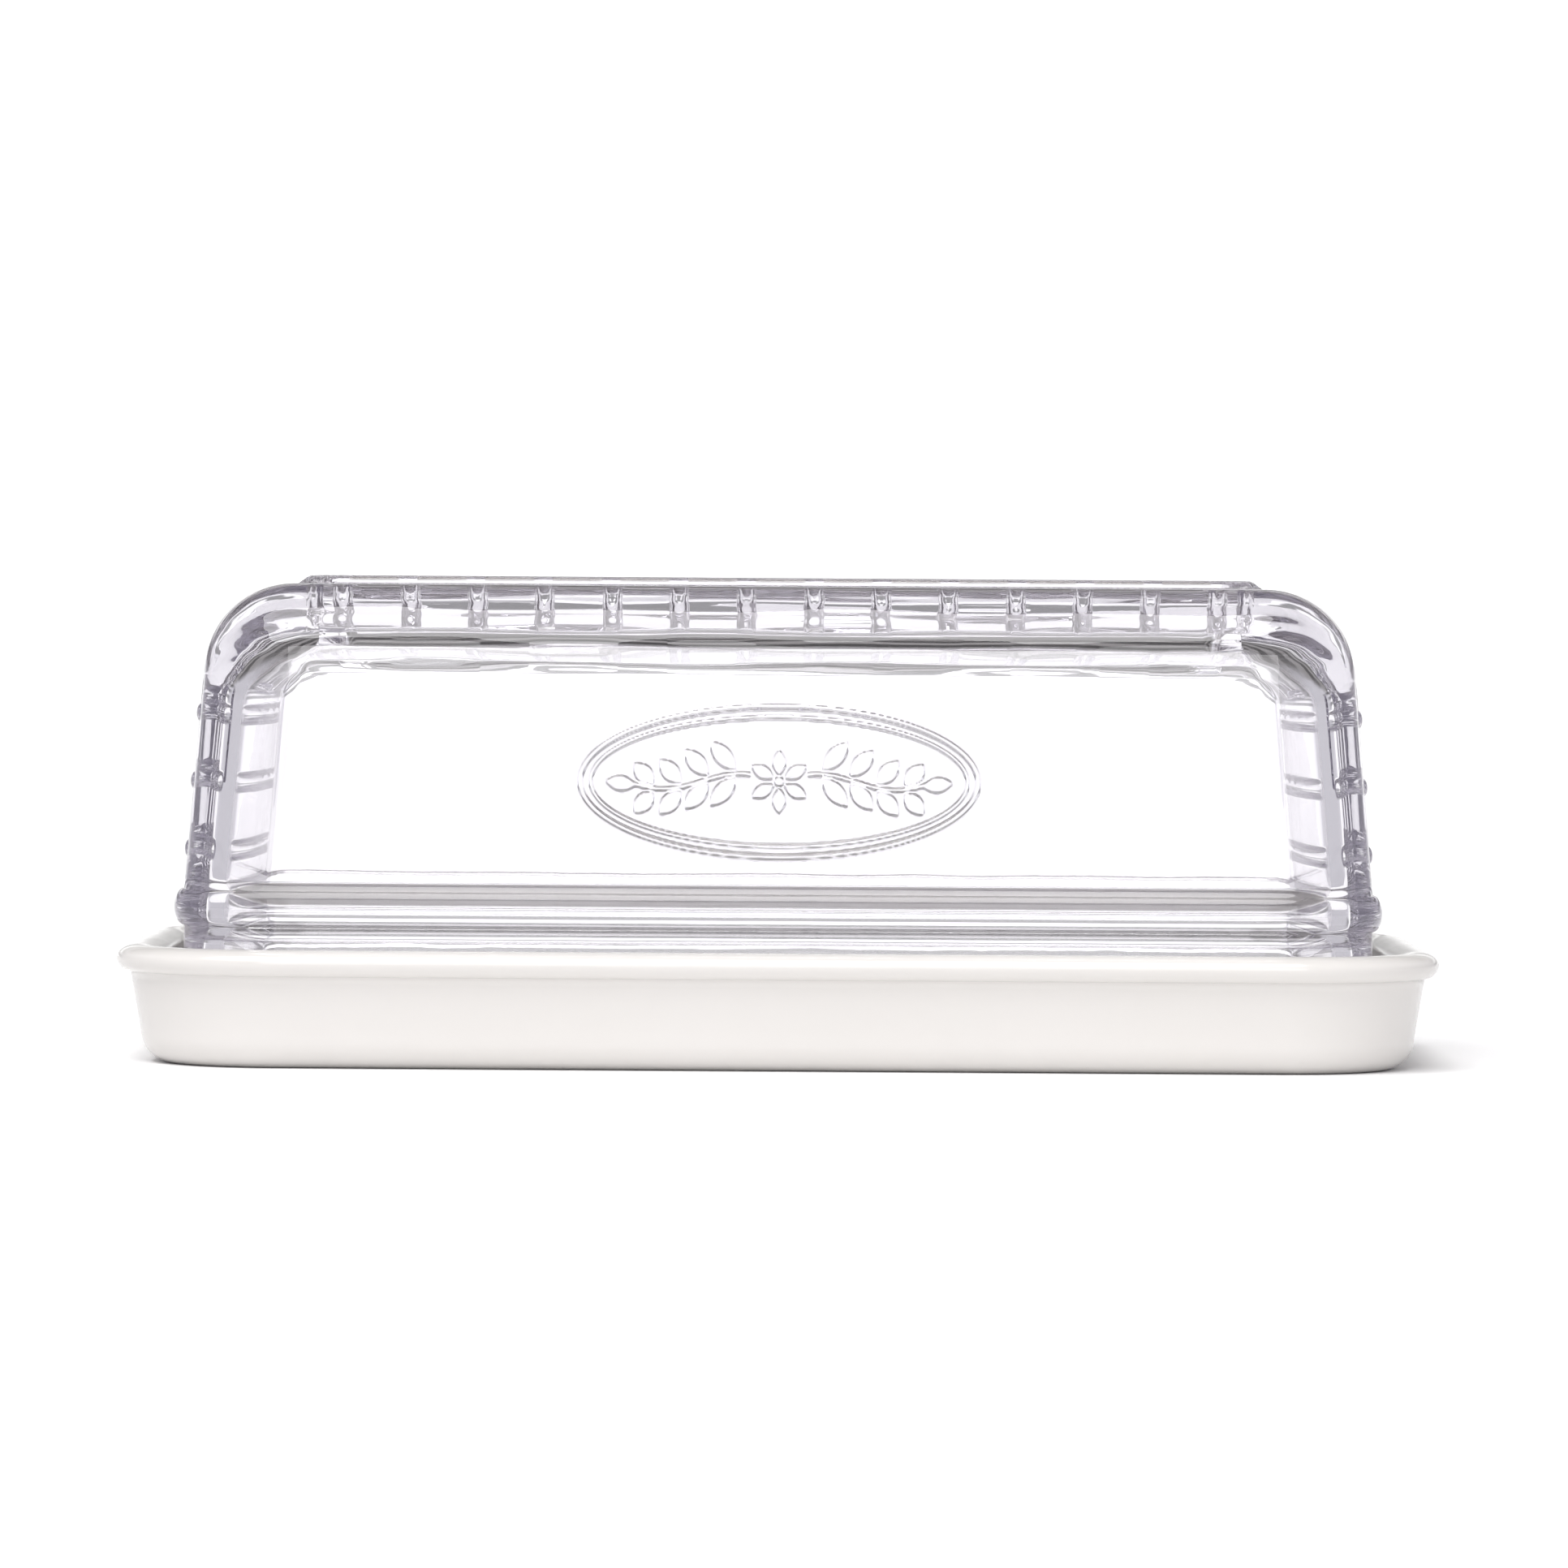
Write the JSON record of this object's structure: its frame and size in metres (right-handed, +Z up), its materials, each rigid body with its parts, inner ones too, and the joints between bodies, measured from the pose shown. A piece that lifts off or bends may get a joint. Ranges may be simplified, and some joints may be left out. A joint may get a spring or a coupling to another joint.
{
  "type": "butter dish",
  "caption": "Covered butter dish: a clear pressed-glass lid with grip ribs stands inside a shallow glazed ceramic dish with a rolled rim, and lifts straight off.",
  "frame": {"origin": "centre of the dish's footprint, on the surface it stands on", "axes": "+X along the dish's length, +Z up; the long front face looks towards -Y"},
  "size_m": [0.19, 0.1, 0.07],
  "materials": {
    "glazed_ceramic": "ivory white stoneware under a clear gloss glaze, bare at the foot ring",
    "clear_glass": "thick clear pressed glass, fire-polished, slightly wavy"
  },
  "bodies": {
    "dish": {"ceramic_dish": "glazed_ceramic"},
    "lid": {"glass_lid": "clear_glass"}
  },
  "joints": [
    {"name": "lid_lift", "type": "slide", "parent": "dish", "child": "lid", "axis": [0, 0, 1], "range_m": [0, 0.1]}
  ]
}
